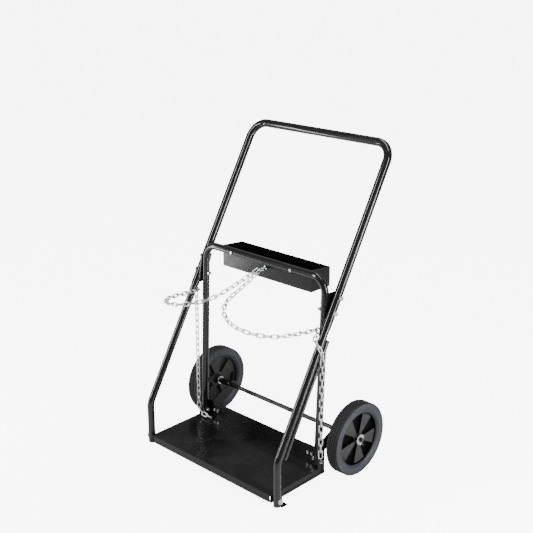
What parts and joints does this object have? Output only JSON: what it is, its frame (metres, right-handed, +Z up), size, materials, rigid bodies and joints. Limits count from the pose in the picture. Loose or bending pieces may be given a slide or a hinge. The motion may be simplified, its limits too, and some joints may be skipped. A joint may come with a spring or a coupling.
{
  "type": "gas welding cart",
  "caption": "Upright tube-frame cart for an oxy-acetylene set, with a base tray for gas bottles, securing chains, a tool tray, a push handle and solid wheels on an axle.",
  "frame": {"origin": "On the ground, in the middle of the cart's footprint", "axes": "X across the cart, Y from the front to the wheels, Z up"},
  "size_m": [0.7494, 0.583, 1.1215],
  "materials": {
    "black_paint": "glossy black powder coat",
    "black_plastic": "matt black moulded plastic",
    "wheel_plastic": "dark grey moulded plastic",
    "tyre_rubber": "blue-grey solid rubber",
    "axle_steel": "dark oxidised steel rod",
    "zinc": "bright zinc plate"
  },
  "bodies": {
    "frame": {"base_tray": "black_paint", "left_post": "black_paint", "right_post": "black_paint", "handle": "black_paint", "inner_frame": "black_paint", "left_gusset": "black_paint", "right_gusset": "black_paint", "tool_tray": "black_paint", "left_foot": "black_paint", "right_foot": "black_paint", "rod_holder": "black_paint", "left_axle_bracket": "black_paint", "right_axle_bracket": "black_paint", "axle_spacers": "black_paint", "post_plugs": "black_plastic", "rod_holder_cap": "black_plastic", "axle": "axle_steel", "axle_washers": "zinc", "cotter_pins": "zinc", "handle_bolts": "zinc", "cross_bolts": "zinc", "post_bolts": "zinc", "ear_bolts": "zinc", "bracket_bolts": "zinc", "tool_tray_bolts": "zinc", "frame_washers": "zinc", "large_nuts": "zinc", "small_nuts": "zinc", "chain_anchor": "zinc", "left_chain": "zinc", "right_chain": "zinc"},
    "left_wheel": {"left_hub": "wheel_plastic", "left_tyre": "tyre_rubber", "left_wheel_bush": "zinc"},
    "right_wheel": {"right_hub": "wheel_plastic", "right_tyre": "tyre_rubber", "right_wheel_bush": "zinc"},
    "left_tail": {"left_chain_tail": "zinc"},
    "right_tail": {"right_chain_tail": "zinc"}
  },
  "joints": [
    {"name": "left_wheel_spin", "type": "hinge", "parent": "frame", "child": "left_wheel", "pos_m": [-0.3412, 0.09035, 0.129], "axis": [1, 0, 0], "continuous": true},
    {"name": "right_wheel_spin", "type": "hinge", "parent": "frame", "child": "right_wheel", "pos_m": [0.3412, 0.09035, 0.129], "axis": [1, 0, 0], "continuous": true},
    {"name": "left_tail_swing", "type": "hinge", "parent": "frame", "child": "left_tail", "pos_m": [-0.2878, -0.05255, 0.53796], "axis": [-1, 0, 0], "range_deg": [0, 20]},
    {"name": "right_tail_swing", "type": "hinge", "parent": "frame", "child": "right_tail", "pos_m": [0.2878, -0.05255, 0.53796], "axis": [-1, 0, 0], "range_deg": [0, 20]}
  ]
}
